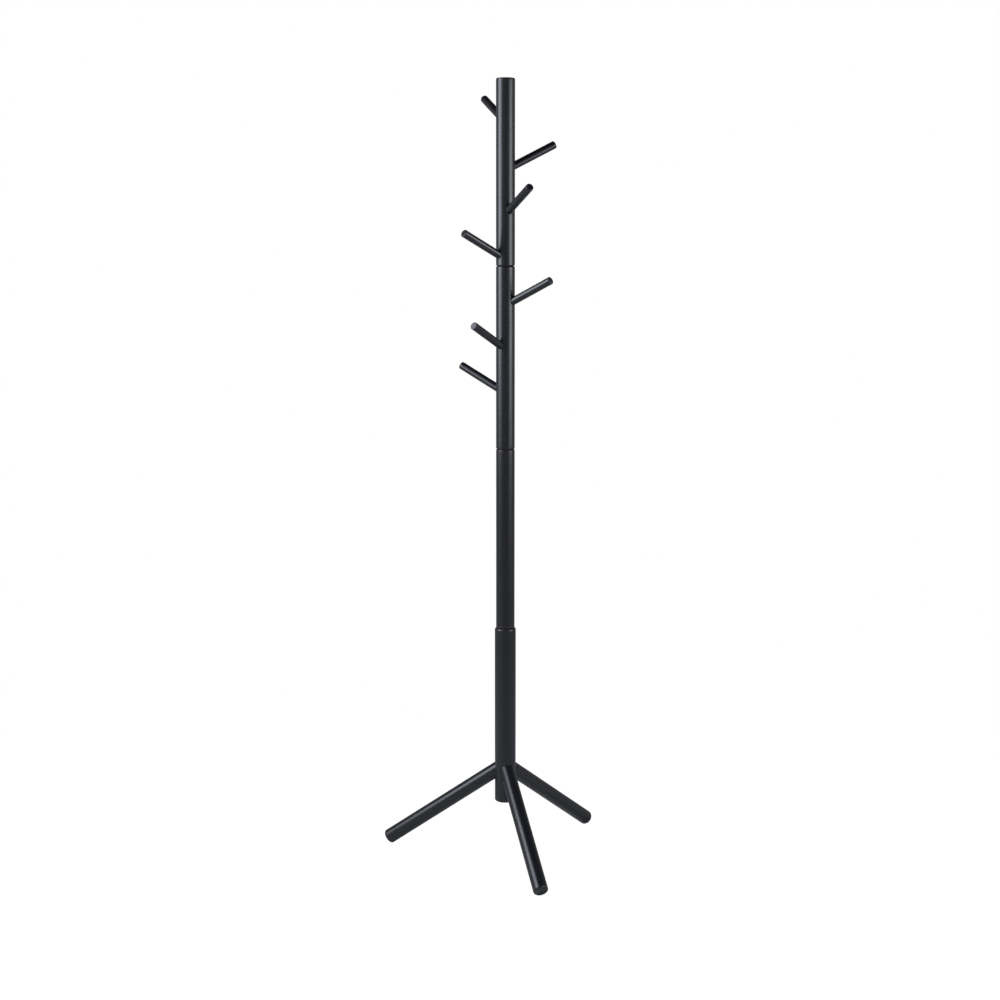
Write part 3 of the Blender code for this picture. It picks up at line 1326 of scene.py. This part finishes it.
@dataclass(frozen=True)
class Viewpoint:
    """The camera: a long lens a little above the middle of the rack, tipped down."""

    distance: float = 3.876
    height: float = 1.4368
    pitch: float = math.radians(7.61)
    yaw: float = math.radians(0.180)
    lens: float = 62.36
    sensor: float = 36.0
    shift: float = -0.0392
    farthest: float = 60.0

    def set_up(self, pole: Axis) -> None:
        """Make the camera, with the pole in front of it, and use it.

        Args:
            pole: the pole's axis.
        """
        camera = bpy.data.cameras.new("camera")
        camera.lens = self.lens
        camera.sensor_width = self.sensor
        camera.shift_y = self.shift
        camera.clip_end = self.farthest
        stand = bpy.data.objects.new("camera", camera)
        stand.location = (pole.origin[0], pole.origin[1] - self.distance, self.height)
        stand.rotation_euler = (QUARTER - self.pitch, 0.0, self.yaw)
        bpy.context.scene.collection.objects.link(stand)
        bpy.context.scene.camera = stand


@dataclass(frozen=True)
class Studio:
    """White paper and backdrop, a soft light on each side, and dim surroundings to mirror.

    The surroundings are brightest below the horizon, where the paper goes on, and fall to the
    ceiling's level over the horizon's range of heights.
    """

    floor_side: float = 1.7
    floor_front: float = 2.6
    floor_back: float = 0.95
    paper: str = "#e9e9e9"
    lift: float = 1.085
    lit_share: float = 0.08
    surroundings: float = 0.27
    ceiling: float = 0.02
    horizon: Range = (0.15, 0.65)
    backdrop: float = 1.0
    lights: tuple[Softbox, ...] = (
        Softbox("left_softbox", (-1.96, -0.60, 1.95), 1.70, 1.35, 2.0, 8.0, "#eef3ff"),
        Softbox("right_softbox", (1.92, -0.78, 1.42), 1.40, 1.25, 1.2, 6.2, "#f3f6ff"),
    )

    def floor(self) -> None:
        """Lay the floor: matt white paper that the camera sees bright."""
        side, front, back = self.floor_side, -self.floor_front, self.floor_back
        corners = [(-side, front, 0), (side, front, 0), (side, back, 0), (-side, back, 0)]
        mesh = bpy.data.meshes.new("floor")
        mesh.from_pydata(corners, [], [(0, 1, 2, 3)])
        material, tree = new_material("white_paper")
        inputs = {"Base Color": linear(self.paper), "Roughness": 0.9, "Specular IOR Level": 0.1}
        paper = add_node(tree, "ShaderNodeBsdfPrincipled", "BSDF", inputs)
        glow = add_node(tree, "ShaderNodeEmission", "Emission", {"Strength": self.lift})
        inputs = {MIX_SHARE: self.lit_share, SHADER_A: glow, SHADER_B: paper}
        seen = add_node(tree, "ShaderNodeMixShader", "Shader", inputs)
        camera_ray = add_node(tree, "ShaderNodeLightPath", "Is Camera Ray")
        inputs = {MIX_SHARE: camera_ray, SHADER_A: paper, SHADER_B: seen}
        both = add_node(tree, "ShaderNodeMixShader", "Shader", inputs)
        add_node(tree, "ShaderNodeOutputMaterial", None, {"Surface": both})
        mesh.materials.append(material)
        floor = bpy.data.objects.new("floor", mesh)
        bpy.context.scene.collection.objects.link(floor)

    def sky(self) -> None:
        """Surround the scene: white where the camera looks, dim where the lacquer does."""
        world = bpy.data.worlds.new("studio")
        world.use_nodes = True
        tree = world.node_tree
        tree.nodes.clear()
        camera_ray = add_node(tree, "ShaderNodeLightPath", "Is Camera Ray")
        place = add_node(tree, "ShaderNodeTexCoord", "Generated")
        height = add_node(tree, "ShaderNodeSeparateXYZ", "Z", {"Vector": place})
        ends = self.horizon + (self.surroundings, self.ceiling)
        inputs = {"Value": height, **dict(zip(RANGE_ENDS, ends))}
        smooth = {"interpolation_type": "SMOOTHSTEP"}
        room = add_node(tree, "ShaderNodeMapRange", "Result", inputs, **smooth)
        inputs = {MIX_SHARE: camera_ray, FLOAT_A: room, FLOAT_B: self.backdrop}
        strength = add_node(tree, "ShaderNodeMix", FLOAT_OUT, inputs, data_type="FLOAT")
        inputs = {"Color": linear("#ffffff"), "Strength": strength}
        background = add_node(tree, "ShaderNodeBackground", "Background", inputs)
        add_node(tree, "ShaderNodeOutputWorld", None, {"Surface": background})
        bpy.context.scene.world = world

    def set_up(self, pole: Axis) -> None:
        """Set up the floor, surroundings, lights and plain colours.

        Args:
            pole: the pole's axis.
        """
        self.floor()
        self.sky()
        for light in self.lights:
            light.hang(pole)
        bpy.context.scene.view_settings.view_transform = "Standard"


def main() -> None:
    """Build the rack and its studio."""
    logging.basicConfig(level=logging.INFO, format="%(name)s: %(message)s")
    rack = CoatRack(Finishes())
    rack.build()
    Studio().set_up(rack.pole)
    Viewpoint().set_up(rack.pole)


if __name__ == "__main__":
    main()
